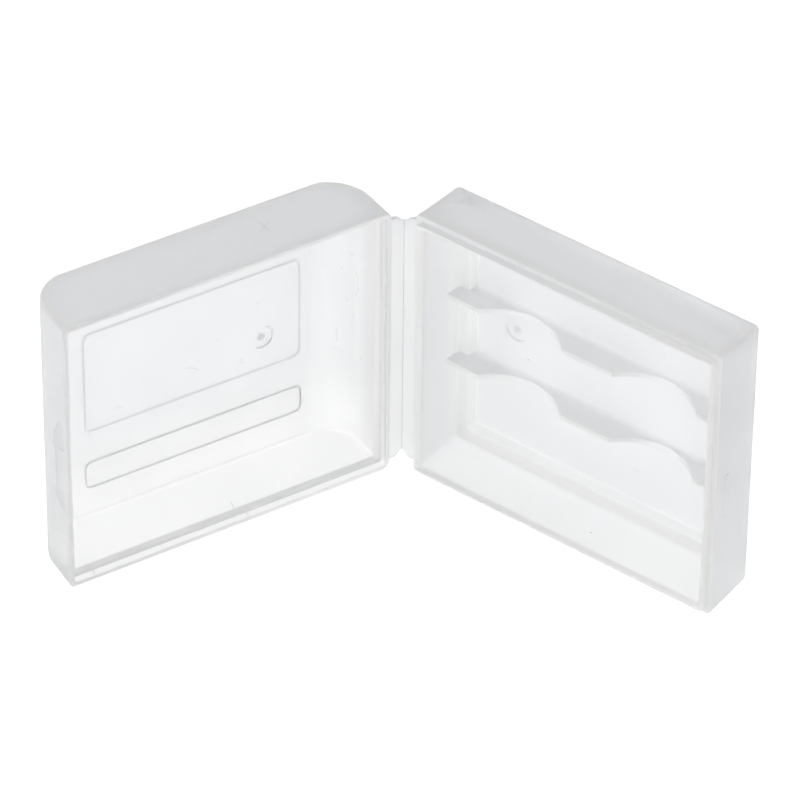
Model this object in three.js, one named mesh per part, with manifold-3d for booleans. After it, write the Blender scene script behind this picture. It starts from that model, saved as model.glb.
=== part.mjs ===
// A hinged two-piece-look clamshell case for two short cylindrical cells, moulded in one shot of
// natural polypropylene and shown standing on its short end with the lid swung part open.
// Millimetres, +Z up. Base: width along +X from the hinge crease, depth along +Y, mouth facing -Y.
// The lid is drawn closed (over the base's mouth, depth along -Y) and then swung open about the crease.

import * as THREE from 'three';
import { mergeVertices } from 'three/addons/utils/BufferGeometryUtils.js';
import Module from 'manifold-3d';

// ---- driving dimensions (mm) ----
const H = 41.0;              // height of both halves, along the hinge
const U0 = 1.8;              // crease to the hinge-side wall of each half
const U1 = 48.4;             // crease to the free-side wall of each half
const BASE_D = 8.7;          // base depth, rim to back
const LID_D = 10.8;          // lid depth, rim to big face
const WALL = 1.5;            // side wall thickness
const BASE_FLOOR_W = 7.95;   // depth of the base's inner floor
const LEDGE_W = 6.8;         // depth of the raised border round that floor
const LEDGE_U = 2.15;        // how far the border reaches in from the side walls
const LEDGE_Z = 2.75;        // how far it reaches in from the end walls
const LID_FACE_W = 9.7;      // depth of the lid's inner face
const STEP = 0.7;            // outer step that the lid's skirt closes over
const TONGUE_P = 0.95;       // how far the tongue stands out of the base's rim
const SKIRT_T = 0.6;         // thickness of the lid's skirt
const SKIRT_P = 1.1;         // depth of the lid's rebate
const SEAM = 0.03;           // gap left between the rims when closed
const LID_R = 6.2;           // big outer radius of the lid's two long back edges
const EDGE_R = 0.75;         // small radius of the base's back edges
const CELL_R = 8.5;          // scallop radius of the cell cradles
const CELL_W = -1.05;        // depth of the cells' axes
const CELL_U = [15.0, 35.6]; // cells' axes, from the crease
const LAND_W = 4.5;          // depth of the cradles' front lands
const RIB_T = 0.8;           // cradle rib thickness
const RIB_Z = [15.55, 26.05]; // mid-heights of the lower and upper rib
const FLANGE_T0 = 0.05;      // hinge flanges lie just behind the parting plane
const FLANGE_T1 = 0.6;
const FLANGE_Z = [1.45, 40.0];
const CREASE_Z = [2.25, 39.15];
const CREASE_U = 0.45;       // flanges stop here and the thin web goes on
const WEB_T = 0.3;
const OPEN = 111.3;          // opening angle between the two halves in this pose, degrees
const LABEL = [9.1, 40.4, 14.5, 30.1, 1.2, 0.2];   // label recess: u0, u1, z0, z1, corner radius, depth
const BAR = [9.1, 40.35, 5.4, 9.5, 1.3, 0.2];      // plain raised bar below it
const BEAD_Z = [14.3, 21.1];                       // catch bead and grip bar
const RELIEF = [[0.9, 26.0], [1.3, 25.8], [2.6, 25.2], [3.5, 23.6], [3.5, 12.6], [2.2, 11.4], [1.3, 11.0], [0.9, 11.0]];

const wasm = await Module();
wasm.setup();

// ---- helpers ----
const toSolid = (geo) => {
  const g = geo.clone();
  g.deleteAttribute('normal');
  g.deleteAttribute('uv');
  const m = mergeVertices(g, 1e-5);
  const idx = m.index.array;
  const mesh = new wasm.Mesh({
    numProp: 3,
    vertProperties: new Float32Array(m.attributes.position.array),
    triVerts: new Uint32Array(idx),
  });
  mesh.merge();
  return new wasm.Manifold(mesh);
};
const toGeo = (solid) => {
  const mesh = solid.getMesh();
  const g = new THREE.BufferGeometry();
  const n = mesh.vertProperties.length / mesh.numProp;
  const pos = new Float32Array(n * 3);
  for (let i = 0; i < n; i++) for (let k = 0; k < 3; k++) pos[3 * i + k] = mesh.vertProperties[i * mesh.numProp + k];
  g.setAttribute('position', new THREE.BufferAttribute(pos, 3));
  g.setIndex(new THREE.BufferAttribute(new Uint32Array(mesh.triVerts), 1));
  return g;
};
const shapeOf = (pts) => new THREE.Shape(pts.map((p) => new THREE.Vector2(p[0], p[1])));
// polygon in (x, y), from z0 to z1
const prismXY = (pts, z0, z1) => {
  const g = new THREE.ExtrudeGeometry(shapeOf(pts), { depth: z1 - z0, bevelEnabled: false });
  g.translate(0, 0, z0);
  return toSolid(g);
};
// polygon in (x, z), from y0 to y1
const prismXZ = (pts, y0, y1) => {
  const g = new THREE.ExtrudeGeometry(shapeOf(pts), { depth: y1 - y0, bevelEnabled: false });
  g.rotateX(Math.PI / 2);
  g.translate(0, y1, 0);
  return toSolid(g);
};
// polygon in (y, z), from x0 to x1
const prismYZ = (pts, x0, x1) => {
  const g = new THREE.ExtrudeGeometry(shapeOf(pts), { depth: x1 - x0, bevelEnabled: false });
  g.rotateX(Math.PI / 2);
  g.rotateZ(Math.PI / 2);
  g.translate(x0, 0, 0);
  return toSolid(g);
};
const box = (x0, x1, y0, y1, z0, z1) => prismXY([[x0, y0], [x1, y0], [x1, y1], [x0, y1]], z0, z1);
// rectangle with a radius at each corner, in the order (a0,b0), (a1,b0), (a1,b1), (a0,b1)
const roundRect = (a0, a1, b0, b1, r, seg = 5) => {
  const rr = Array.isArray(r) ? r : [r, r, r, r];
  const c = [[a0, b0, 1, 1, 180], [a1, b0, -1, 1, 270], [a1, b1, -1, -1, 0], [a0, b1, 1, -1, 90]];
  const out = [];
  c.forEach(([a, b, sa, sb, start], i) => {
    if (rr[i] < 1e-6) { out.push([a, b]); return; }
    for (let k = 0; k <= seg; k++) {
      const t = ((start + (90 * k) / seg) * Math.PI) / 180;
      out.push([a + sa * rr[i] + rr[i] * Math.cos(t), b + sb * rr[i] + rr[i] * Math.sin(t)]);
    }
  });
  return out;
};

const plastic = (name, color, roughness) => new THREE.MeshStandardMaterial({ name, color, roughness, metalness: 0, transparent: true, opacity: 0.55 });
const natural = plastic('natural_polypropylene', 0xeceef0, 0.45);
const thin = plastic('natural_polypropylene_thin', 0xf3f4f5, 0.4);

const base = new THREE.Group();
base.name = 'base';
const lid = new THREE.Group();
lid.name = 'lid';
const put = (group, name, solid, material = natural) => {
  const g = toGeo(solid);
  g.computeVertexNormals();
  const m = new THREE.Mesh(g, material);
  m.name = name;
  group.add(m);
  return m;
};

// ---- base moulding ----
{
  const outer = prismXZ(roundRect(U0, U1, 0, H, 0.5, 3), 0, BASE_D)
    .intersect(prismXY(roundRect(U0, U1, -5, BASE_D, [0, 0, EDGE_R, EDGE_R], 4), 0, H))
    .intersect(prismYZ(roundRect(-5, BASE_D, 0, H, [0, EDGE_R, EDGE_R, 0], 4), U0, U1));
  // pocket: straight walls, then a raised border, then the floor inside it
  const pu = [U0 + WALL, U1 - WALL];
  const pz = [WALL, H - WALL];
  const wu = [pu[0] + LEDGE_U, pu[1] - LEDGE_U];
  const wz = [pz[0] + LEDGE_Z, pz[1] - LEDGE_Z];
  put(base, 'base_back_panel', outer.intersect(box(-1, 60, BASE_FLOOR_W, 20, -5, 50)));
  const rim = outer.intersect(box(-1, 60, -5, BASE_FLOOR_W, -5, 50)).subtract(box(pu[0], pu[1], -5, 20, pz[0], pz[1]));
  put(base, 'base_bottom_wall', rim.intersect(box(-1, 60, -5, 20, -5, pz[0])));
  put(base, 'base_top_wall', rim.intersect(box(-1, 60, -5, 20, pz[1], 50)));
  const sides = rim.intersect(box(-1, 60, -5, 20, pz[0], pz[1]));
  put(base, 'base_hinge_side_wall', sides.intersect(box(-1, 25, -5, 20, -5, 50)));
  put(base, 'base_free_side_wall', sides.intersect(box(25, 60, -5, 20, -5, 50)));
  put(base, 'base_floor_border', box(pu[0], pu[1], LEDGE_W, BASE_FLOOR_W, pz[0], pz[1])
    .subtract(box(wu[0], wu[1], -5, 20, wz[0], wz[1])));

  // tongue round the mouth, with a lead-in bevel inside
  const tongue = prismXZ(roundRect(U0 + STEP, U1 - STEP, STEP, H - STEP, 0.4, 3), -TONGUE_P, 0)
    .subtract(prismXZ(roundRect(pu[0], pu[1], pz[0], pz[1], 0, 3), -5, 5));
  put(base, 'base_closure_tongue', tongue);

  // cradle ribs: one to each row, stepped over the border and scalloped to the two cells
  const cellCut = CELL_U.map((u) => {
    const pts = [];
    for (let k = 0; k < 72; k++) {
      const t = (k * 5 * Math.PI) / 180;
      pts.push([u + CELL_R * Math.cos(t), CELL_W + CELL_R * Math.sin(t)]);
    }
    return prismXY(pts, -1, H + 1);
  });
  const rows = [['lower', RIB_Z[0]], ['upper', RIB_Z[1]]];
  for (const [row, z] of rows) {
    let rib = prismXY([[pu[0], LAND_W], [pu[1], LAND_W], [pu[1], LEDGE_W], [wu[1], LEDGE_W], [wu[1], BASE_FLOOR_W], [wu[0], BASE_FLOOR_W], [wu[0], LEDGE_W], [pu[0], LEDGE_W]], z - RIB_T / 2, z + RIB_T / 2);
    for (const c of cellCut) rib = rib.subtract(c);
    put(base, `base_${row}_cradle_rib`, rib);
  }

  // grip bar on the free side, near the rim
  const barPts = [];
  for (let k = 0; k <= 8; k++) {
    const t = (k * Math.PI) / 8;
    barPts.push([U1 + 0.25 * Math.sin(t), 2.4 - 0.55 * Math.cos(t)]);
  }
  put(base, 'base_grip_bar', prismXY(barPts, BEAD_Z[0], BEAD_Z[1]));

  // hinge flange, notched at the crease
  const fl = prismXZ([[CREASE_U, CREASE_Z[0]], [1.0, FLANGE_Z[0]], [U0, FLANGE_Z[0]], [U0, FLANGE_Z[1]], [1.0, FLANGE_Z[1]], [CREASE_U, CREASE_Z[1]]], FLANGE_T0, FLANGE_T1);
  put(base, 'base_hinge_flange', fl, thin);
}

// ---- lid moulding, drawn closed: depth w is -y ----
{
  const outer = prismXY(roundRect(U0, U1, -LID_D, 5, [LID_R, LID_R, 0, 0], 10), 0, H)
    .intersect(prismYZ(roundRect(-LID_D, 5, 0, H, [0.5, 0, 0, 0.5], 3), U0, U1))
    .intersect(prismXZ(roundRect(U0, U1, 0, H, [1.2, 0.5, 0.5, 0.7], 4), -LID_D, -SEAM));
  const pu = [U0 + WALL - 0.05, U1 - WALL + 0.05];
  const pz = [WALL - 0.05, H - WALL + 0.05];
  const innerR = LID_R - (LID_D - LID_FACE_W) - 0.2;
  const pocket = prismXY(roundRect(pu[0], pu[1], -LID_FACE_W, 5, [innerR, innerR, 0, 0], 10), pz[0], pz[1]);
  const rim = prismXZ(roundRect(U0 + SKIRT_T, U1 - SKIRT_T, SKIRT_T, H - SKIRT_T, 0.4, 3), -20, 5);
  const relief = prismYZ(RELIEF.map(([w, z]) => [-w, z]), pu[1] - 0.5, U1 - SKIRT_T);
  const label = prismXZ(roundRect(LABEL[0], LABEL[1], LABEL[2], LABEL[3], LABEL[4], 4), -LID_D - 1, -LID_D + LABEL[5]);
  put(lid, 'lid_closure_skirt', outer.intersect(box(-1, 60, -SKIRT_P, 5, -5, 50)).subtract(rim));
  const body = outer.intersect(box(-1, 60, -30, -SKIRT_P, -5, 50)).subtract(pocket).subtract(relief).subtract(label);
  put(lid, 'lid_bottom_wall', body.intersect(box(-1, 60, -30, 5, -5, pz[0])));
  put(lid, 'lid_top_wall', body.intersect(box(-1, 60, -30, 5, pz[1], 50)));
  const mid = body.intersect(box(-1, 60, -30, 5, pz[0], pz[1]));
  put(lid, 'lid_hinge_side_wall', mid.intersect(box(-1, U0 + LID_R, -30, 5, -5, 50)));
  put(lid, 'lid_free_side_wall', mid.intersect(box(U1 - LID_R, 60, -30, 5, -5, 50)));
  put(lid, 'lid_face_panel', mid.intersect(box(U0 + LID_R, U1 - LID_R, -30, 5, -5, 50)));
  put(lid, 'lid_plain_bar', prismXZ(roundRect(BAR[0], BAR[1], BAR[2], BAR[3], BAR[4], 4), -LID_D - BAR[5], -LID_D));

  // catch bead in the relief of the free-side wall
  const bead = [];
  for (let k = 0; k <= 8; k++) {
    const t = (k * Math.PI) / 8;
    bead.push([U1 - SKIRT_T - 0.55 * Math.sin(t), -1.9 - 0.55 * Math.cos(t)]);
  }
  put(lid, 'lid_catch_bead', prismXY(bead, BEAD_Z[0], BEAD_Z[1]));

  const fl = prismXZ([[CREASE_U, CREASE_Z[0]], [1.0, FLANGE_Z[0]], [U0, FLANGE_Z[0]], [U0, FLANGE_Z[1]], [1.0, FLANGE_Z[1]], [CREASE_U, CREASE_Z[1]]], -FLANGE_T1, -FLANGE_T0);
  put(lid, 'lid_hinge_flange', fl, thin);
}

// swing the lid open about the crease
const phi = (OPEN * Math.PI) / 180;
for (const m of lid.children) m.geometry.rotateZ(-phi);

// ---- the thin web at the crease, bent round the corner between the two flanges ----
const web = (() => {
  const lu = [Math.cos(phi), -Math.sin(phi)];
  const lw = [-Math.sin(phi), -Math.cos(phi)];
  const L = (u, w) => [u * lu[0] + w * lw[0], u * lu[1] + w * lw[1]];
  const half = (Math.PI - phi) / 2;
  const bis = (d) => [-d * Math.tan(half), d];
  const pts = [[CREASE_U, FLANGE_T0], [CREASE_U, WEB_T], bis(WEB_T), L(CREASE_U, WEB_T), L(CREASE_U, FLANGE_T0), bis(FLANGE_T0)];
  return prismXY(pts, CREASE_Z[0], CREASE_Z[1]);
})();
put(base, 'living_hinge_web', web, thin);

// ---- one frame: origin at the centre of the footprint, on the floor ----
const part = new THREE.Group();
part.name = 'two_cell_clamshell_case';
part.add(base, lid);
part.updateMatrixWorld(true);
const bb = new THREE.Box3().setFromObject(part, true);
const shift = [-(bb.min.x + bb.max.x) / 2, -(bb.min.y + bb.max.y) / 2, -bb.min.z];
part.traverse((o) => { if (o.isMesh) o.geometry.translate(shift[0], shift[1], shift[2]); });
console.log('shift', shift.map((v) => v.toFixed(5)).join(' '), 'box', bb.min.toArray().map((v) => v.toFixed(4)).join(' '), bb.max.toArray().map((v) => v.toFixed(4)).join(' '));

export default part;
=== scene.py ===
"""Two-cell clamshell case in frosted natural polypropylene, standing part open on its end."""
import bpy
import bmesh
import math
from mathutils import Matrix, Vector


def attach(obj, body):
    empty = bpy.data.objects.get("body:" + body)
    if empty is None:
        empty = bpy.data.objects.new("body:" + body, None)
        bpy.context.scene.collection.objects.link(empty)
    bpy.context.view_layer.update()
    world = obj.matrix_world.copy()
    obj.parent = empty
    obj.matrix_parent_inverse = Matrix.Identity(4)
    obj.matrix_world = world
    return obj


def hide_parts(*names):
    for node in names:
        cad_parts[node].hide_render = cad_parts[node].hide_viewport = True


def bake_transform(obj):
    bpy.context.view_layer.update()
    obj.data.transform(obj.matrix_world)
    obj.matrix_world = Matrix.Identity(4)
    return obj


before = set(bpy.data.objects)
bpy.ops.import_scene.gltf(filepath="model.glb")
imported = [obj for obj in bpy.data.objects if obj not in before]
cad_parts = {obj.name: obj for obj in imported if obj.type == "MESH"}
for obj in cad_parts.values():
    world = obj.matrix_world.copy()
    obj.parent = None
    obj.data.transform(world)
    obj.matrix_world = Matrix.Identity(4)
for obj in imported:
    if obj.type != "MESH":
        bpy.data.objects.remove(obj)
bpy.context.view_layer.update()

# ---------------------------------------------------------------- frame (mm)
SX, SY = -11.42265, 18.19148           # the hinge crease in the row frame
PHI = math.radians(111.3)              # opening angle
LU = (math.cos(PHI), -math.sin(PHI))   # lid: away from the crease
LW = (-math.sin(PHI), -math.cos(PHI))  # lid: away from its mouth
MM = 0.001


def base_pt(u, w, z):
    return Vector(((u + SX) * MM, (w + SY) * MM, z * MM))


def lid_pt(u, w, z):
    return Vector(((u * LU[0] + w * LW[0] + SX) * MM, (u * LU[1] + w * LW[1] + SY) * MM, z * MM))


# ---------------------------------------------------------------- sizes (mm)
H = 41.0
U0, U1 = 1.8, 48.4
BASE_D, LID_D = 8.7, 10.8
FLOOR_W, FACE_W = 7.95, 9.7
LEDGE_W = 6.8                          # the thicker border round the base's floor
CELL_U, CELL_W, CELL_R = (15.0, 35.6), -1.05, 8.5
RIB_Z = (15.55, 26.05)
RIB_T = 0.8
LAND_W = 4.5
PLAIN, SHADE_LINE, THICK, STEP, END, MARK, SOLE, SUNK, UNDER, BED = range(10)   # material slots, in the order of the list `slots` below


# ---------------------------------------------------------------- materials
def plastic(name, clear=(1.0, 0.997, 0.992), milk=(0.975, 0.983, 0.992), share=0.35, rough=0.40, through=0.5, ior=1.49, border=None, ripple=1.0, base=False, low=None, painted_shade=()):
    """Natural polypropylene: a rough, clear share, and a milky share that scatters to both sides.
    Cloudy by a few per cent, finely rippled, with a few dark specks. border: the share and the milky colour that it
    takes within a wall's thickness of the lid's rounded outline, or of the base's: a warmer, lighter band, partly the
    tint of the thick plastic and partly painted light that comes up through the wall below.
    low: (z, z, share): the share that it goes to at the first height.
    painted_shade: tuples (factor, ramp, ...): painted shade, how dark the colour is made where every ramp, (axis, mm,
    mm, 0..1, 0..1), is at 1."""
    m = bpy.data.materials.new(name)
    m.use_nodes = True
    nt = m.node_tree
    nt.nodes.clear()
    N = nt.nodes.new

    def put(socket, v):
        if hasattr(v, "is_output"):
            nt.links.new(v, socket)
        else:
            socket.default_value = v

    def calc(op, x, y=0.0, z=None):
        n = N("ShaderNodeMath")
        n.operation = op
        put(n.inputs[0], x)
        put(n.inputs[1], y)
        if z is not None:
            put(n.inputs[2], z)
        return n.outputs[0]

    def noise(scale, detail):
        n = N("ShaderNodeTexNoise")
        put(n.inputs["Vector"], tc.outputs["Object"])
        n.inputs["Scale"].default_value = scale
        n.inputs["Detail"].default_value = detail
        return n.outputs[0]

    def blend(f, x, y, kind="MIX"):
        n = N("ShaderNodeMix")
        n.data_type = "RGBA"
        n.blend_type = kind
        put(n.inputs["Factor"], f)
        put(n.inputs[6], x)
        put(n.inputs[7], y)
        return n.outputs[2]

    tc = N("ShaderNodeTexCoord")
    vary = 0.2 * min(share, 1 - share) / 0.35
    fac = calc("MULTIPLY_ADD", noise(110.0, 4.0), vary, share - vary / 2)
    colour = (*milk, 1)
    if low is not None:
        xyz = N("ShaderNodeSeparateXYZ")
        put(xyz.inputs[0], tc.outputs["Object"])
        rise = N("ShaderNodeMapRange")
        rise.interpolation_type = "SMOOTHSTEP"
        put(rise.inputs["Value"], xyz.outputs[2])
        up = low[0] < low[1]
        rise.inputs["From Min"].default_value = min(low[:2]) * MM
        rise.inputs["From Max"].default_value = max(low[:2]) * MM
        rise.inputs["To Min"].default_value = low[2] - share if up else 0.0
        rise.inputs["To Max"].default_value = 0.0 if up else low[2] - share
        fac = calc("ADD", fac, rise.outputs[0])
    if border:
        def along(ax, ay, shift):
            d = N("ShaderNodeVectorMath")
            d.operation = "DOT_PRODUCT"
            put(d.inputs[0], tc.outputs["Object"])
            d.inputs[1].default_value = (ax, ay, 0.0)
            return calc("ADD", d.outputs["Value"], shift)
        r = 6.2 * MM
        u = along(LU[0], LU[1], -(SX * LU[0] + SY * LU[1] + (U0 + U1) / 2) * MM)
        w = along(LW[0], LW[1], -(SX * LW[0] + SY * LW[1] + LID_D) * MM + r)
        qu = calc("ADD", calc("ABSOLUTE", u), r - (U1 - U0) / 2 * MM)
        cu, cw = calc("MAXIMUM", qu, 0.0), calc("MAXIMUM", w, 0.0)
        far = calc("SQRT", calc("ADD", calc("MULTIPLY", cu, cu), calc("MULTIPLY", cw, cw)))
        near = calc("MINIMUM", calc("MAXIMUM", qu, w), 0.0)
        depth = calc("ADD", far, near)      # the outline is at r, and the wall's inner side at about r - 1.4 mm
        lo, hi = r - 1.6 * MM, r - 1.3 * MM
        if base:
            xyz = N("ShaderNodeSeparateXYZ")
            put(xyz.inputs[0], tc.outputs["Object"])
            du = calc("ABSOLUTE", calc("ADD", xyz.outputs[0], -(SX + (U0 + U1) / 2) * MM))
            du = calc("ADD", du, (1.55 - (U1 - U0) / 2) * MM)
            db = calc("ADD", xyz.outputs[1], -(SY + BASE_D - 0.95) * MM)
            dr = calc("MULTIPLY_ADD", xyz.outputs[1], -1.0, (SY + 1.3) * MM)
            depth = calc("MAXIMUM", du, calc("MAXIMUM", db, dr))
            lo, hi = -0.2 * MM, 0.2 * MM
        step = N("ShaderNodeMapRange")
        step.interpolation_type = "SMOOTHSTEP"
        put(step.inputs["Value"], depth)
        step.inputs["From Min"].default_value = lo
        step.inputs["From Max"].default_value = hi
        mask = step.outputs[0]
        fac = calc("ADD", fac, calc("MULTIPLY", mask, border[0] - share))
        colour = blend(mask, colour, (*border[1], 1))
    # specks: a few cells of a 3-D pattern hold one small dark grain near their middle
    vor = N("ShaderNodeTexVoronoi")
    put(vor.inputs["Vector"], tc.outputs["Object"])
    vor.inputs["Scale"].default_value = 330.0
    rnd = N("ShaderNodeSeparateColor")
    put(rnd.inputs[0], vor.outputs["Color"])
    size = calc("MULTIPLY", calc("GREATER_THAN", rnd.outputs[0], 0.55), calc("MULTIPLY", rnd.outputs[1], 0.055))
    speck = calc("LESS_THAN", vor.outputs["Distance"], size)
    colour = blend(speck, colour, (0.35, 0.34, 0.32, 1))
    tint = blend(speck, (*clear, 1), (0.35, 0.34, 0.32, 1))
    # painted shade: the colours are multiplied darker where the ramps reach 1
    for factor, *ramps in painted_shade:
        place = N("ShaderNodeSeparateXYZ")
        put(place.inputs[0], tc.outputs["Object"])
        shade = 1.0
        for axis, a, b, at_a, at_b in ramps:
            ramp = N("ShaderNodeMapRange")
            put(ramp.inputs["Value"], place.outputs[axis])
            ramp.inputs["From Min"].default_value = a * MM
            ramp.inputs["From Max"].default_value = b * MM
            ramp.inputs["To Min"].default_value = at_a
            ramp.inputs["To Max"].default_value = at_b
            shade = calc("MULTIPLY", shade, ramp.outputs[0])
        grey = (factor, factor, factor, 1)
        colour = blend(shade, colour, grey, "MULTIPLY")
        tint = blend(shade, tint, grey, "MULTIPLY")
    # ripple of the mould and a fine satin
    bump = N("ShaderNodeBump")
    bump.inputs["Strength"].default_value = 0.5 * ripple
    bump.inputs["Distance"].default_value = 0.00003
    put(bump.inputs["Height"], calc("ADD", calc("MULTIPLY", noise(420.0, 3.0), 1.0), calc("MULTIPLY", noise(5200.0, 2.0), 0.16)))

    out = N("ShaderNodeOutputMaterial")
    p = N("ShaderNodeBsdfPrincipled")
    put(p.inputs["Base Color"], tint)
    p.inputs["IOR"].default_value = ior
    put(p.inputs["Roughness"], calc("MULTIPLY_ADD", noise(700.0, 3.0), 0.08, rough - 0.04))
    p.inputs["Transmission Weight"].default_value = 1.0
    put(p.inputs["Normal"], bump.outputs[0])
    dif = N("ShaderNodeBsdfDiffuse")
    put(dif.inputs["Color"], colour)
    put(dif.inputs["Normal"], bump.outputs[0])
    tra = N("ShaderNodeBsdfTranslucent")
    put(tra.inputs["Color"], colour)
    put(tra.inputs["Normal"], bump.outputs[0])
    both = N("ShaderNodeMixShader")
    if isinstance(through, tuple):      # from the crease to the free sides
        off = N("ShaderNodeVectorMath")
        off.operation = "SUBTRACT"
        put(off.inputs[0], tc.outputs["Object"])
        off.inputs[1].default_value = (SX * MM, SY * MM, 0.0)
        flatten = N("ShaderNodeVectorMath")
        flatten.operation = "MULTIPLY"
        put(flatten.inputs[0], off.outputs[0])
        flatten.inputs[1].default_value = (1.0, 1.0, 0.0)
        reach = N("ShaderNodeVectorMath")
        reach.operation = "LENGTH"
        put(reach.inputs[0], flatten.outputs[0])
        span = N("ShaderNodeMapRange")
        put(span.inputs["Value"], reach.outputs["Value"])
        span.inputs["From Min"].default_value = 8.0 * MM
        span.inputs["From Max"].default_value = 44.0 * MM
        span.inputs["To Min"].default_value = through[0]
        span.inputs["To Max"].default_value = through[1]
        put(both.inputs[0], span.outputs[0])
    else:
        both.inputs[0].default_value = through
    nt.links.new(dif.outputs[0], both.inputs[1])
    nt.links.new(tra.outputs[0], both.inputs[2])
    mix = N("ShaderNodeMixShader")
    put(mix.inputs[0], fac)
    nt.links.new(p.outputs[0], mix.inputs[1])
    nt.links.new(both.outputs[0], mix.inputs[2])
    nt.links.new(mix.outputs[0], out.inputs[0])
    return m


natural = plastic("natural_polypropylene")
# dark grey copy for cut steps, the groove round the bar and the gate's step and stub: painted shade
step_shade = plastic("natural_polypropylene_step_painted_shade", clear=(0.52, 0.52, 0.52), milk=(0.55, 0.55, 0.55))
thick = plastic("natural_polypropylene_thick", clear=(1.0, 0.996, 0.988), milk=(0.995, 0.985, 0.972), share=0.76, through=(0.05, 0.62), ripple=0.3)
# painted highlight: a milky colour above white makes the ledge's inner side (STEP slot) glow brighter than its light
# allows
border = plastic("natural_polypropylene_ledge_painted_glow", milk=(1.2, 1.2, 1.19), share=0.9, ripple=0.2)
sole = plastic("natural_polypropylene_sole", share=0.2, rough=0.3, ripple=0.5)
# darker grey for the scratch grooves, which are wear, and for the hinge crease, where it is painted shade
wear_and_crease_shade = plastic("natural_polypropylene_wear_and_crease_shade", clear=(0.8, 0.8, 0.8), milk=(0.72, 0.72, 0.72), share=0.5)
# top faces: a warmer, lighter band over the walls below, partly the thick plastic's tint and partly painted light
end = plastic("natural_polypropylene_end", border=(0.85, (1.0, 0.985, 0.96)))
top = plastic("natural_polypropylene_top", border=(0.8, (1.0, 0.985, 0.965)), base=True)
lid_natural = plastic("natural_polypropylene_lid", low=(2.5, 15.0, 0.14))
# painted shade: the free-side wall's colour goes darker towards its top
base_natural = plastic("natural_polypropylene_base", low=(38.0, 22.0, 0.305),
                       painted_shade=[(0.895, (0, SX + 47.2, SX + 47.8, 0.0, 1.0), (2, 4.0, 34.0, 0.3, 1.0))])
under = plastic("natural_polypropylene_under", share=0.19, rough=0.25, ripple=0.4)
bed = plastic("natural_polypropylene_bed", share=0.48, low=(34.0, 16.0, 0.68))
# slightly darker copy for the sunk outline round the catch: painted shade
sunk = plastic("natural_polypropylene_sunk_painted_shade", clear=(0.94, 0.94, 0.945), milk=(0.9, 0.905, 0.91), share=0.42)
web = plastic("natural_polypropylene_thin", share=0.3)
slots = (natural, step_shade, thick, border, end, wear_and_crease_shade, sole, sunk, under, bed)


# ---------------------------------------------------------------- mesh helpers
def rrect(u0, u1, z0, z1, r, nc=6, nu=10, nz=8):
    """Rounded rectangle in (u, z), counter-clockwise, always the same number of points."""
    rr = r if isinstance(r, (list, tuple)) else (r,) * 4
    cs = [(u0, z0, 1, 1, 180), (u1, z0, -1, 1, 270), (u1, z1, -1, -1, 0), (u0, z1, 1, -1, 90)]
    arcs = []
    for (u, z, su, sz, a0), q in zip(cs, rr):
        arcs.append([(u + su * q + q * math.cos(math.radians(a0 + 90 * k / nc)),
                      z + sz * q + q * math.sin(math.radians(a0 + 90 * k / nc))) for k in range(nc + 1)])
    out = []
    for i, arc in enumerate(arcs):
        out += arc
        nxt = arcs[(i + 1) % 4][0]
        n = nu if i % 2 == 0 else nz
        for k in range(1, n):
            t = k / n
            out.append((arc[-1][0] * (1 - t) + nxt[0] * t, arc[-1][1] * (1 - t) + nxt[1] * t))
    return out


def loft(name, rings, place, bands=None):
    """Closed solid from rings of (u, w, z) with the same count; first and last are capped.
    bands gives the material slot of each band between two rings, and last that of the caps."""
    bm = bmesh.new()
    rows = [[bm.verts.new(place(*p)) for p in ring] for ring in rings]
    for k, (a, b) in enumerate(zip(rows, rows[1:])):
        n = len(a)
        for i in range(n):
            f = bm.faces.new((a[i], a[(i + 1) % n], b[(i + 1) % n], b[i]))
            f.material_index = bands[k] if bands else PLAIN
    for row in (rows[0], list(reversed(rows[-1]))):
        cap = bm.faces.new(row)
        cap.material_index = bands[-1] if bands else PLAIN
    bmesh.ops.recalc_face_normals(bm, faces=bm.faces)
    me = bpy.data.meshes.new(name)
    bm.to_mesh(me)
    bm.free()
    for m in slots:
        me.materials.append(m)
    ob = bpy.data.objects.new(name, me)
    bpy.context.scene.collection.objects.link(ob)
    return ob


def prism(name, pts, place, lo, hi, edge=0.0, axis="z", seg=3, slot=PLAIN, caps=None):
    """Closed solid from an outline swept from lo to hi, its two end faces with rounded edges.
    axis z: outline in (u, w), swept along z; axis w: outline in (u, z), swept along w; axis u: outline in (w, z)."""
    def at(p, q, t):
        if axis == "z":
            return (p, q, t)
        if axis == "w":
            return (p, t, q)
        return (t, p, q)
    n = len(pts)
    area = sum(pts[i][0] * pts[(i + 1) % n][1] - pts[(i + 1) % n][0] * pts[i][1] for i in range(n))
    sgn = 1 if area > 0 else -1

    def inset(d):
        if d < 1e-9:
            return pts
        out = []
        for i in range(n):
            a, b, c = pts[i - 1], pts[i], pts[(i + 1) % n]
            e1 = (b[0] - a[0], b[1] - a[1])
            e2 = (c[0] - b[0], c[1] - b[1])
            l1, l2 = math.hypot(*e1), math.hypot(*e2)
            n1 = (-e1[1] / l1 * sgn, e1[0] / l1 * sgn)
            n2 = (-e2[1] / l2 * sgn, e2[0] / l2 * sgn)
            k = max(1 + n1[0] * n2[0] + n1[1] * n2[1], 0.35)
            out.append((b[0] + d * (n1[0] + n2[0]) / k, b[1] + d * (n1[1] + n2[1]) / k))
        return out
    s = 1 if hi > lo else -1
    if edge > 0:
        turn = [math.radians(90 * k / seg) for k in range(seg + 1)]
        rings = [[at(p, q, lo + s * edge * (1 - math.cos(t))) for p, q in inset(edge * (1 - math.sin(t)))] for t in turn]
        rings += [[at(p, q, hi - s * edge * (1 - math.sin(t))) for p, q in inset(edge * (1 - math.cos(t)))] for t in turn]
    else:
        rings = [[at(p, q, lo) for p, q in pts], [at(p, q, hi) for p, q in pts]]
    return loft(name, rings, place, [slot] * (len(rings) - 1) + [slot if caps is None else caps])


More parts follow.
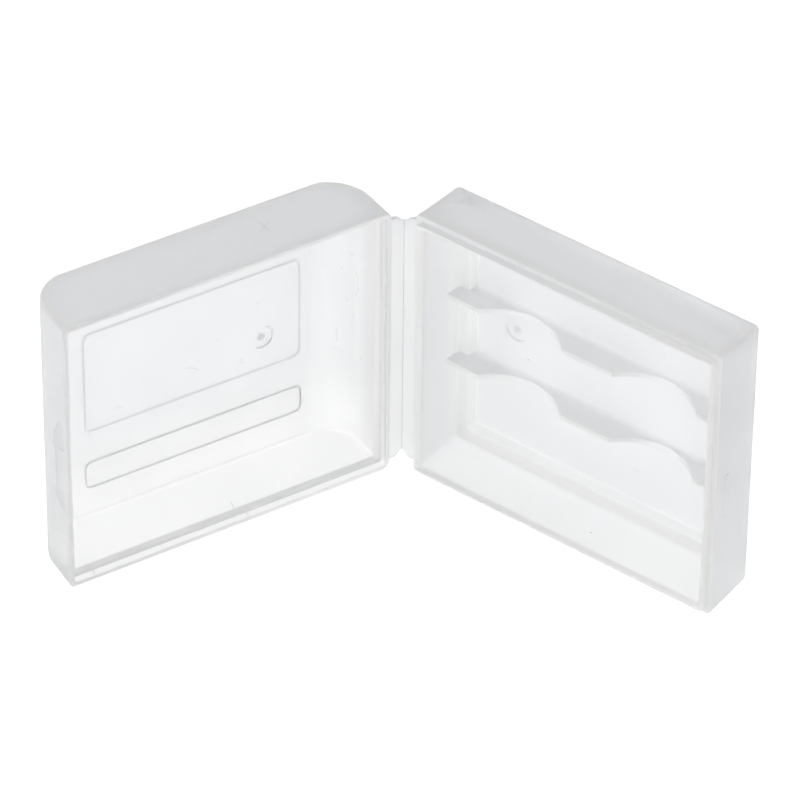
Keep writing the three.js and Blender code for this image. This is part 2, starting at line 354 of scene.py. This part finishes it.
def boolean(ob, other, op):
    bpy.context.view_layer.update()
    m = ob.modifiers.new("b", "BOOLEAN")
    m.operation = op
    m.solver = "EXACT"
    m.material_mode = "INDEX"
    m.object = other
    dg = bpy.context.evaluated_depsgraph_get()
    me = bpy.data.meshes.new_from_object(ob.evaluated_get(dg))
    ob.modifiers.clear()
    old = ob.data
    if len(me.polygons) < 0.8 * len(old.polygons):      # a cut that fails leaves the solid as it was
        print("left out:", other.name, op, len(old.polygons), len(me.polygons))
        old, me = me, old
    ob.data = me
    bpy.data.meshes.remove(old)
    om = other.data
    bpy.data.objects.remove(other)
    bpy.data.meshes.remove(om)
    return ob


def tidy(ob, angle=38):
    bm = bmesh.new()
    bm.from_mesh(ob.data)
    bmesh.ops.remove_doubles(bm, verts=bm.verts, dist=2e-7)
    bmesh.ops.dissolve_degenerate(bm, edges=bm.edges, dist=1e-7)
    bmesh.ops.recalc_face_normals(bm, faces=bm.faces)
    bm.to_mesh(ob.data)
    bm.free()
    ob.data.shade_smooth()
    ob.data.set_sharp_from_angle(angle=math.radians(angle))
    # cut steps and marks keep a crisp edge, so they don't shade the flats round them
    bm = bmesh.new()
    bm.from_mesh(ob.data)
    for e in bm.edges:
        kinds = {f.material_index for f in e.link_faces}
        if len(kinds) == 2 and kinds & {SHADE_LINE, MARK}:
            e.smooth = False
    bm.to_mesh(ob.data)
    bm.free()
    w = ob.modifiers.new("even_normals", "WEIGHTED_NORMAL")
    w.keep_sharp = True
    w.weight = 80
    return ob


# ---------------------------------------------------------------- base moulding
def base_moulding():
    rings, bands = [], []

    def ring(iu, w, r, iz=None, then=PLAIN):
        iz = iu if iz is None else iz
        rings.append([(u, w, z) for u, z in rrect(U0 + iu, U1 - iu, iz, H - iz, r)])
        bands.append(then)

    def draft(w):
        return 0.25 * max(w, 0) / BASE_D
    rb = 0.9
    ring(5.0, BASE_D, 0.8, then=SOLE)
    for a in (90, 72, 54, 36, 18, 0):
        s, c = math.sin(math.radians(a)), math.cos(math.radians(a))
        w = BASE_D - rb + rb * s
        ring(draft(w) + rb * (1 - c), w, 0.55 + 0.25 * (1 - c), then=SOLE)
    for w in (5.6, 3.4, 1.4):
        ring(draft(w), w, 0.55)
    for b in (0, 30, 60, 90):
        s, c = math.sin(math.radians(b)), math.cos(math.radians(b))
        ring(0.13 * (1 - c), 0.13 * (1 - s), 0.5, then=THICK)
    ring(0.62, 0.0, 0.45, then=THICK)
    ring(0.675, -0.025, 0.42, then=THICK)
    ring(0.7, -0.08, 0.4, then=THICK)
    for b in (0, 30, 60, 90):
        s, c = math.sin(math.radians(b)), math.cos(math.radians(b))
        ring(0.7 + 0.16 * (1 - c), -0.79 - 0.16 * s, 0.4, then=THICK)
    ring(1.02, -0.95, 0.38, then=THICK)
    ring(1.10, -0.91, 0.38, then=THICK)
    ring(1.42, -0.42, 0.4, then=THICK)
    ring(1.48, -0.30, 0.42)
    ring(1.5, -0.15, 0.42)
    # inner walls with their draft, then the border ledge, then the floor
    ring(1.58, 2.0, 0.42, 1.62)
    ring(1.68, 4.2, 0.45, 1.78)
    ring(1.76, 5.9, 0.5, 1.92)
    ring(1.81, 6.3, 0.5, 1.98)
    ring(1.92, 6.6, 0.5, 2.09, then=THICK)
    ring(2.12, 6.75, 0.5, 2.29, then=THICK)
    ring(2.42, LEDGE_W, 0.5, 2.6, then=THICK)
    # the ledge's inner side: the STEP slot, painted brighter than white as a highlight
    ring(3.3, LEDGE_W + 0.02, 0.5, 3.9, then=STEP)
    ring(3.4, LEDGE_W + 0.08, 0.5, 4.0, then=STEP)
    ring(3.85, FLOOR_W - 0.08, 0.5, 4.45, then=STEP)
    ring(3.95, FLOOR_W - 0.02, 0.5, 4.55, then=STEP)
    ring(4.1, FLOOR_W, 0.5, 4.7)
    ob = loft("base_moulding", rings, base_pt, bands)
    # cradle ribs, each row one rib scalloped almost down to the back panel
    for z in RIB_Z:
        pts = [(3.0, 8.3), (3.0, LAND_W + 0.1)]
        for cu in CELL_U:
            half = math.sqrt(CELL_R ** 2 - (LAND_W - CELL_W) ** 2)
            a0 = math.atan2(LAND_W - CELL_W, -half)
            a1 = math.atan2(LAND_W - CELL_W, half)
            n = 28
            for k in range(n + 1):
                a = a0 + (a1 - a0) * k / n
                pts.append((cu + CELL_R * math.cos(a), CELL_W + CELL_R * math.sin(a)))
        pts += [(47.2, LAND_W + 0.1), (47.2, 8.3)]
        rib = prism(f"rib_{z}", pts, base_pt, z - RIB_T / 2, z + RIB_T / 2, edge=0.12, axis="z", slot=THICK, caps=PLAIN)
        boolean(ob, rib, "UNION")
        # fillet where the rib meets the back panel
        for s in (-1, 1):
            q = 0.8
            prof = [(FLOOR_W + 0.25, z), (FLOOR_W + 0.25, z + s * (RIB_T / 2 + q + 0.1)), (FLOOR_W + 0.02, z + s * (RIB_T / 2 + q))]
            for k in range(1, 8):
                a = math.radians(90 * k / 8)
                prof.append((FLOOR_W - q * (1 - math.cos(a)), z + s * (RIB_T / 2 + q * (1 - math.sin(a)))))
            prof.append((FLOOR_W - q, z + s * (RIB_T / 2 - 0.2)))
            prof.append((FLOOR_W - q, z))
            fil = prism("fil", prof, base_pt, 5.0, 45.2, axis="u")
            for cu in CELL_U:
                cell = prism("cell", [(cu + CELL_R * math.cos(math.radians(5 * k)), CELL_W + CELL_R * math.sin(math.radians(5 * k))) for k in range(72)],
                             base_pt, z - 4, z + 4, axis="z")
                boolean(fil, cell, "DIFFERENCE")
            boolean(ob, fil, "UNION")
    # grip bar on the free side: a low swelling
    bar = [(U1 - 0.3, 1.6), (U1 - 0.3, 3.2)] + [(U1 - 0.1 + 0.16 * math.sin(math.radians(a)), 2.4 + 0.7 * math.cos(math.radians(a))) for a in range(0, 181, 15)]
    boolean(ob, prism("bar", bar, base_pt, 14.4, 21.1, edge=0.12, axis="z"), "UNION")
    gate(ob, base_pt, 11.7, 22.35, BASE_D, 215, 0.07)
    return ob


def ring_band(cu, cz, r0, r1, a0, a1, n=18):
    """Outline in (u, z) of a crescent between two arcs, thickest in the middle."""
    out = []
    for k in range(n + 1):
        a = math.radians(a0 + (a1 - a0) * k / n)
        out.append((cu + r1 * math.cos(a), cz + r1 * math.sin(a)))
    for k in range(n - 1, 0, -1):
        t = k / n
        a = math.radians(a0 + (a1 - a0) * t)
        r = r1 - (r1 - r0) * (0.25 + 0.75 * math.sin(math.pi * t))
        out.append((cu + r * math.cos(a), cz + r * math.sin(a)))
    return out


def gate(ob, place, u, z, w, face, deep):
    """Injection mark on an outer face: a shallow dish with a sheared stub in it and a sharper step on one side."""
    dish = []
    for r, d in ((1.9, 0.3), (1.72, 0.0), (1.6, deep * 0.7), (1.35, deep), (0.8, deep)):
        dish.append([(u + r * math.cos(math.radians(10 * k)), w + (0.3 if d == 0.3 else -d), z + r * math.sin(math.radians(10 * k))) for k in range(36)])
    boolean(ob, loft("dish", dish, place), "DIFFERENCE")
    # the crescent step and the stub's top are painted dark grey as shade
    boolean(ob, prism("step", ring_band(u, z, 1.5, 1.68, face - 95, face + 95), place, w + 0.1, w - deep - 0.1, axis="w", slot=SHADE_LINE), "DIFFERENCE")
    stub = []
    for r, d in ((0.6, -0.3), (0.58, -deep), (0.5, -deep + 0.05), (0.45, 0.05), (0.38, 0.08)):
        stub.append([(u + r * math.cos(math.radians(15 * k)), w + d, z + r * math.sin(math.radians(15 * k))) for k in range(24)])
    boolean(ob, loft("stub", stub, place, [PLAIN, PLAIN, SHADE_LINE, SHADE_LINE, SHADE_LINE]), "UNION")


# ---------------------------------------------------------------- lid moulding
def lid_moulding():
    rings, bands = [], []
    R, wc = 6.2, LID_D - 6.2

    def ring(du, dz, w, r, then=PLAIN):
        rr = r if isinstance(r, (list, tuple)) else (r,) * 4
        rings.append([(u, w, z) for u, z in rrect(U0 + du, U1 - du, dz, H - dz, rr)])
        bands.append(then)

    def outer_dz(w):
        k = max(0.0, w - (LID_D - 0.5))
        return 0.3 * w / LID_D + 0.5 - math.sqrt(max(0.0, 0.25 - k * k))
    ro = (1.2, 0.5, 0.65, 0.75)
    for a in (90, 86.5, 83, 79, 75, 71, 66.8, 61, 55, 48, 41, 34, 27, 20, 13, 6.5, 0):
        s, c = math.sin(math.radians(a)), math.cos(math.radians(a))
        w = wc + R * s
        t = max(0.0, s)
        ring(0.1 * (1 - t) * (w / wc) + R * (1 - c), outer_dz(w), w, [q * (1 - 0.45 * t) for q in ro])
    for w in (3.1, 1.6):
        ring(0.1 * w / wc, outer_dz(w), w, ro)
    for b in (0, 30, 60, 90):
        s, c = math.sin(math.radians(b)), math.cos(math.radians(b))
        ring(0.12 * (1 - c), 0.12 * (1 - c), 0.15 - 0.12 * s, ro, THICK)
    for b in (90, 60, 30, 0):
        s, c = math.sin(math.radians(b)), math.cos(math.radians(b))
        ring(0.6 - 0.1 + 0.1 * c, 0.6 - 0.1 + 0.1 * c, 0.13 - 0.1 * s, 0.42, SOLE if b == 0 else THICK)
    ring(0.6, 0.6, 1.0, 0.4, THICK)
    ring(0.62, 0.62, 1.07, 0.4, THICK)
    ring(0.68, 0.68, 1.1, 0.4, THICK)
    ring(1.02, 1.02, 1.1, 0.42, THICK)
    ring(1.09, 1.09, 1.13, 0.42, THICK)
    ring(1.38, 1.38, 1.5, 0.45, THICK)
    ring(1.44, 1.44, 1.62, 0.45)
    ring(1.45, 1.45, 1.8, 0.45)
    ri_w, ri_u = FACE_W - wc, R - 1.45

    def inner_dz(w):
        q = 0.6
        k = max(0.0, w - (FACE_W - q))
        return 1.45 + 0.12 * w / FACE_W + q - math.sqrt(max(0.0, q * q - k * k))
    for a in (0, 9, 18, 27, 36, 45, 54, 61, 67, 72, 76.5, 80.5, 84, 87, 90):
        s, c = math.sin(math.radians(a)), math.cos(math.radians(a))
        w = wc + ri_w * s
        ring(1.45 + ri_u * (1 - c), inner_dz(w), w, 0.5)
    ob = loft("lid_moulding", rings, lid_pt, bands)

    # blank label recess and the raised plain bar, on the outer face; both have a sharp moulded step, wider along the
    # top, whose faces are painted dark grey as shade
    def outline(u0, u1, z0, z1, r, ins, top):
        return rrect(u0 + ins, u1 - ins, z0 + ins, z1 - ins * top, max(0.2, r - ins), nc=8)
    d = 0.22
    lab = [[(u, w, z) for u, z in outline(9.1, 40.4, 14.5, 30.1, 1.2, ins, 1.3)]
           for ins, w in ((-0.03, LID_D + 0.3), (0.0, LID_D), (0.04, LID_D - d - 0.04), (0.12, LID_D - d - 0.04), (0.16, LID_D - d))]
    boolean(ob, loft("label", lab, lid_pt, [SHADE_LINE, SHADE_LINE, SHADE_LINE, SHADE_LINE, PLAIN]), "DIFFERENCE")
    # the groove round the bar is painted dark grey as shade
    boolean(ob, prism("moat", rrect(8.96, 40.49, 5.38, 9.66, 0.97, nc=6), lid_pt, LID_D + 0.2, LID_D - 0.15, axis="w", slot=SHADE_LINE), "DIFFERENCE")
    bar = [[(u, w, z) for u, z in outline(9.1, 40.35, 5.43, 9.5, 0.85, ins, 1.0)]
           for ins, w in ((0.0, LID_D - 0.3), (0.0, LID_D + 0.1), (0.05, LID_D + 0.15), (0.12, LID_D + 0.19))]
    boolean(ob, loft("bar", bar, lid_pt, [SHADE_LINE, SHADE_LINE, PLAIN, PLAIN]), "UNION")
    gate(ob, lid_pt, 14.8, 19.65, LID_D - d, 200, 0.09)
    # catch: five-sided relief inside the free-side wall, open towards the rim, with a small upright bar in it
    rel = [(0.95, 11.0), (1.3, 11.0), (2.2, 11.4), (3.5, 12.6), (3.5, 23.6), (2.6, 25.2), (1.3, 25.8), (0.95, 25.8)]
    boolean(ob, prism("relief", rel, lid_pt, 46.2, 47.79, axis="u"), "DIFFERENCE")
    bead = [(1.9 + 0.6 * math.cos(math.radians(a)), 47.75 - 0.6 * math.sin(math.radians(a))) for a in range(0, 181, 15)]
    bead = [(u, w) for w, u in bead] + [(48.0, 1.3), (48.0, 2.5)]
    boolean(ob, prism("bead", bead, lid_pt, 14.3, 21.1, edge=0.12, axis="z"), "UNION")
    # the relief shows outside as a faint sunk outline round the bar, its faces painted a little darker as shade
    sink = [(1.0, 11.8), (1.9, 11.8), (2.6, 12.5), (3.6, 12.7), (3.62, 13.7), (3.3, 14.4), (3.3, 20.6), (3.75, 20.7), (3.6, 22.9), (1.9, 25.5), (1.0, 25.5),
            (1.0, 21.3), (2.55, 21.1), (2.6, 14.6), (1.0, 14.6)]
    boolean(ob, prism("sink", sink, lid_pt, U1 - 0.15, U1 + 0.4, axis="u", slot=SUNK), "DIFFERENCE")
    return ob


# ---------------------------------------------------------------- hinge: two flanges and the thin web between them
def hinge_strip():
    stations = []   # (point, direction to the back, distance from the crease, slot of the band that follows)
    rho, half, inner = 0.32, (math.pi - PHI) / 2, 0.05
    reach = (rho - inner) * math.tan(half)

    def thick_at(u):
        t = min(max((u - 0.5) / 0.5, 0.0), 1.0)
        return 0.27 + (0.55 - 0.27) * t * t * (3 - 2 * t)

    def ends(u):
        k = min(max((u - 0.1) / 0.95, 0.0), 1.0) ** 0.85
        return 2.35 - 0.9 * k, 39.2 + 0.8 * k
    us = [1.95, 1.7, 1.4, 1.2, 1.1, 1.0, 0.9, 0.8, 0.68, 0.56, 0.46, 0.36]
    for u in us:
        stations.append(((u, inner), (0.0, 1.0), u, PLAIN))
    # the inner line turns about a point on the mouth side, so the web keeps its thickness
    n = 8
    for k in range(n + 1):
        a = (math.pi - PHI) * k / n
        nx, ny = -math.sin(a), math.cos(a)
        # the two middle bands of the bend take the darker grey: painted shade in the crease
        stations.append(((reach + rho * nx, inner - rho + rho * ny), (nx, ny), 0.1, MARK if k in (3, 4) else PLAIN))
    for u in reversed(us):
        stations.append(((u * LU[0] + inner * LW[0], u * LU[1] + inner * LW[1]), LW, u, PLAIN))
    rings = []
    for (x, y), (nx, ny), u, slot in stations:
        t = thick_at(u)
        z0, z1 = ends(u)
        rings.append([(x + nx * a, y + ny * a, b) for a, b in rrect(0.0, t, z0, z1, min(0.1, t * 0.35), nc=3, nu=3, nz=24)])
    ob = loft("hinge_strip", rings, base_pt, [st[3] for st in stations])
    ob.data.materials[PLAIN] = web
    return tidy(ob, angle=50)


# ---------------------------------------------------------------- small marks of handling and moulding
def mark(ob, place, pts, r):
    """A fine groove of half-round section along points (u, w, z) on the surface."""
    r *= 0.6
    v = [Vector(p) for p in pts]
    if len(v) == 1:
        v.append(v[0] + Vector((r * 0.5, 0, r * 0.4)))
    v = [v[0] - (v[1] - v[0]).normalized() * r] + v + [v[-1] + (v[-1] - v[-2]).normalized() * r]
    rings = []
    for i, c in enumerate(v):
        d = (v[min(i + 1, len(v) - 1)] - v[max(i - 1, 0)]).normalized()
        a = d.orthogonal().normalized()
        b = d.cross(a)
        q = r * (0.35 if i in (0, len(v) - 1) else 1.0)
        rings.append([tuple(c + (a * math.cos(math.radians(45 * k)) + b * math.sin(math.radians(45 * k))) * q) for k in range(8)])
    boolean(ob, loft("mark", rings, place, [MARK] * len(rings)), "DIFFERENCE")


LID_MARKS = [
    ([(21.43, 9.7, 29.05)], 0.07), ([(27.21, 9.7, 27.7)], 0.05), ([(15.8, 9.7, 26.02), (15.52, 9.7, 25.42)], 0.05),
    ([(18.35, 9.7, 17.56), (17.91, 9.7, 17.7)], 0.05), ([(17.62, 9.7, 17.2), (18.06, 9.7, 17.0)], 0.05),
    ([(26.03, 9.7, 19.55), (25.03, 9.7, 19.14), (24.16, 9.7, 18.47)], 0.06),
    ([(36.6, 9.7, 17.27), (35.73, 9.7, 17.4), (35.17, 9.7, 16.84)], 0.05),
    ([(25.22, 9.7, 15.34)], 0.06), ([(15.6, 9.7, 12.7)], 0.06),
    ([(4.59, 8.14, 28.53), (4.25, 7.72, 28.04)], 0.06),
    ([(3.46, 6.09, 28.49), (3.34, 5.55, 27.53), (3.34, 5.54, 26.1), (3.42, 5.89, 24.61)], 0.05),
    ([(3.69, 6.71, 31.19), (3.57, 6.41, 30.71)], 0.07), ([(4.01, 7.35, 23.71), (3.87, 7.09, 23.18)], 0.07),
    ([(3.56, 6.37, 21.29), (3.45, 6.05, 20.83)], 0.06), ([(4.75, 8.31, 18.2), (4.75, 8.31, 16.25)], 0.06),
    ([(4.94, 8.48, 15.23), (4.31, 7.79, 14.96), (3.66, 6.64, 15.0)], 0.05), ([(3.28, 5.05, 15.44), (3.25, 4.61, 14.92)], 0.06),
    ([(16.82, 7.29, 40.79), (16.62, 4.69, 40.87)], 0.05), ([(15.66, 6.58, 40.81), (17.67, 5.34, 40.85)], 0.05),
    ([(9.38, 9.7, 24.58)], 0.06), ([(40.04, 9.7, 11.25)], 0.06),
    ([(44.68, 1.06, 0.65), (44.97, 0.03, 0.45)], 0.1), ([(23.61, 2.88, 1.47), (23.86, 1.69, 1.44)], 0.09),
    ([(22.47, 1.07, 0.66), (22.63, 0.03, 0.46)], 0.09),
]
BASE_MARKS = [
    ([(12.18, 7.95, 27.4)], 0.07), ([(15.58, 7.95, 23.14)], 0.06), ([(8.66, 7.95, 30.64)], 0.06), ([(17.95, -0.85, 40.28)], 0.08),
    ([(30.68, 7.95, 9.63), (31.62, 7.95, 9.46)], 0.05), ([(3.56, 5.82, 8.48)], 0.05), ([(41.71, 7.95, 15.0)], 0.05),
]


base_ob = base_moulding()
lid_ob = lid_moulding()
hinge_ob = hinge_strip()
for pts, r in LID_MARKS:
    mark(lid_ob, lid_pt, pts, r)
for pts, r in BASE_MARKS:
    mark(base_ob, base_pt, pts, r)
# the end walls on top show the walls below them as a warmer, lighter band, partly the thick plastic's tint and partly
# painted light; the undersides and the lid's hinge-side wall are the clearest
for f in lid_ob.data.polygons:
    if f.material_index != PLAIN:
        continue
    zs = [lid_ob.data.vertices[i].co.z / MM for i in f.vertices]
    p = f.center / MM - Vector((SX, SY, 0))
    u, w = p.x * LU[0] + p.y * LU[1], p.x * LW[0] + p.y * LW[1]
    if f.normal.z > 0.9 and min(zs) > H - 0.9:
        f.material_index = END
    elif f.normal.z < -0.9 and max(zs) < 0.8:
        f.material_index = UNDER
    elif u < 5.0 and w < 6.0 and f.normal.dot(Vector((LU[0], LU[1], 0))) > 0.5:
        f.material_index = SOLE
for f in base_ob.data.polygons:
    if f.material_index == SOLE and f.normal.z > 0.6 and f.center.z > (H - 1.5) * MM:
        f.material_index = END
    elif f.material_index == SOLE and f.normal.x > 0.6 and f.center.x > (SX + U1 - 1.5) * MM:
        f.material_index = PLAIN
    elif f.material_index == STEP and (f.normal.z < -0.2 or f.normal.x < -0.2):
        f.material_index = PLAIN
    elif f.material_index == PLAIN and f.normal.z < -0.9 and f.center.z < 0.5 * MM:
        f.material_index = SOLE
    elif f.material_index == PLAIN and f.normal.z > 0.9 and min(base_ob.data.vertices[i].co.z for i in f.vertices) > (H - 0.9) * MM:
        f.material_index = END
    elif f.material_index == PLAIN and f.normal.y < -0.9 and abs(f.center.y / MM - SY - FLOOR_W) < 0.1:
        f.material_index = BED
lid_ob.data.materials[PLAIN] = lid_natural
base_ob.data.materials[PLAIN] = base_natural
base_ob.data.materials[END] = top
for ob in (base_ob, lid_ob):
    tidy(ob)

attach(base_ob, "base")
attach(lid_ob, "lid")
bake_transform(hinge_ob)
base_nodes = [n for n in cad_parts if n.startswith("base_") and n != "base_hinge_flange"]
lid_nodes = [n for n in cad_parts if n.startswith("lid_") and n != "lid_hinge_flange"]
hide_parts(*base_nodes)
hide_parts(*lid_nodes)
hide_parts("base_hinge_flange", "lid_hinge_flange", "living_hinge_web")


# ---------------------------------------------------------------- stage
def flat(name, size, z):
    me = bpy.data.meshes.new(name)
    me.from_pydata([(-size, -size, z), (size, -size, z), (size, size, z), (-size, size, z)], [], [(0, 1, 2, 3)])
    ob = bpy.data.objects.new(name, me)
    bpy.context.scene.collection.objects.link(ob)
    return ob


floor = flat("floor", 3.0, -0.00003)
fm = bpy.data.materials.new("floor")
fm.use_nodes = True
fm.node_tree.nodes["Principled BSDF"].inputs["Base Color"].default_value = (0.04, 0.04, 0.04, 1)
fm.node_tree.nodes["Principled BSDF"].inputs["Emission Color"].default_value = (1, 1, 1, 1)
fm.node_tree.nodes["Principled BSDF"].inputs["Emission Strength"].default_value = 1.13
fm.node_tree.nodes["Principled BSDF"].inputs["Roughness"].default_value = 0.9
fm.node_tree.nodes["Principled BSDF"].inputs["Specular IOR Level"].default_value = 0.0
floor.data.materials.append(fm)

world = bpy.data.worlds.new("studio")
bpy.context.scene.world = world
world.use_nodes = True
wt = world.node_tree
bg = wt.nodes["Background"]
bg.inputs[1].default_value = 1.0
tc = wt.nodes.new("ShaderNodeTexCoord")
sep = wt.nodes.new("ShaderNodeSeparateXYZ")
ramp = wt.nodes.new("ShaderNodeValToRGB")
ramp.color_ramp.elements[0].position = 0.0
ramp.color_ramp.elements[0].color = (1.0, 1.0, 1.0, 1)
ramp.color_ramp.elements[1].position = 0.5
ramp.color_ramp.elements[1].color = (0.46, 0.48, 0.51, 1)
wt.links.new(tc.outputs["Generated"], sep.inputs[0])
wt.links.new(sep.outputs[2], ramp.inputs[0])
wt.links.new(ramp.outputs[0], bg.inputs[0])


def area(name, loc, target, size, power):
    l = bpy.data.lights.new(name, "AREA")
    l.shape = "RECTANGLE"
    l.size, l.size_y = size
    l.energy = power
    o = bpy.data.objects.new(name, l)
    o.location = loc
    o.rotation_mode = "QUATERNION"
    o.rotation_quaternion = (Vector(target) - Vector(loc)).to_track_quat("-Z", "Y")
    bpy.context.scene.collection.objects.link(o)
    return o


area("overhead", (0.0, 0.1, 0.8), (0, 0, 0), (0.9, 0.9), 0.8)
area("front", (-0.25, -0.85, 0.22), (0, 0, 0.02), (0.8, 0.4), 1.0)

# ---------------------------------------------------------------- camera
M = ((.79337, .60868, .00830), (.38744, -.49439, -.77812), (-.46952, .62055, -.62807))
cam = bpy.data.cameras.new("camera")
cam.sensor_width = 36.0
cam.lens = 36.0 * 6396.0 / 800.0
cam.clip_start, cam.clip_end = 0.05, 20.0
co = bpy.data.objects.new("camera", cam)
X, Y, Z = Vector(M[0]), -Vector(M[1]), -Vector(M[2])
co.matrix_world = Matrix.Translation(Vector(((382.18 + SX) * MM, (-505.61 + SY) * MM, 521.96 * MM))) @ Matrix((X, Y, Z)).transposed().to_4x4()
bpy.context.scene.collection.objects.link(co)
bpy.context.scene.camera = co

bpy.context.scene.view_settings.view_transform = "Standard"
bpy.context.scene.cycles.transmission_bounces = 24
bpy.context.scene.cycles.max_bounces = 32
bpy.context.scene.cycles.transparent_max_bounces = 24
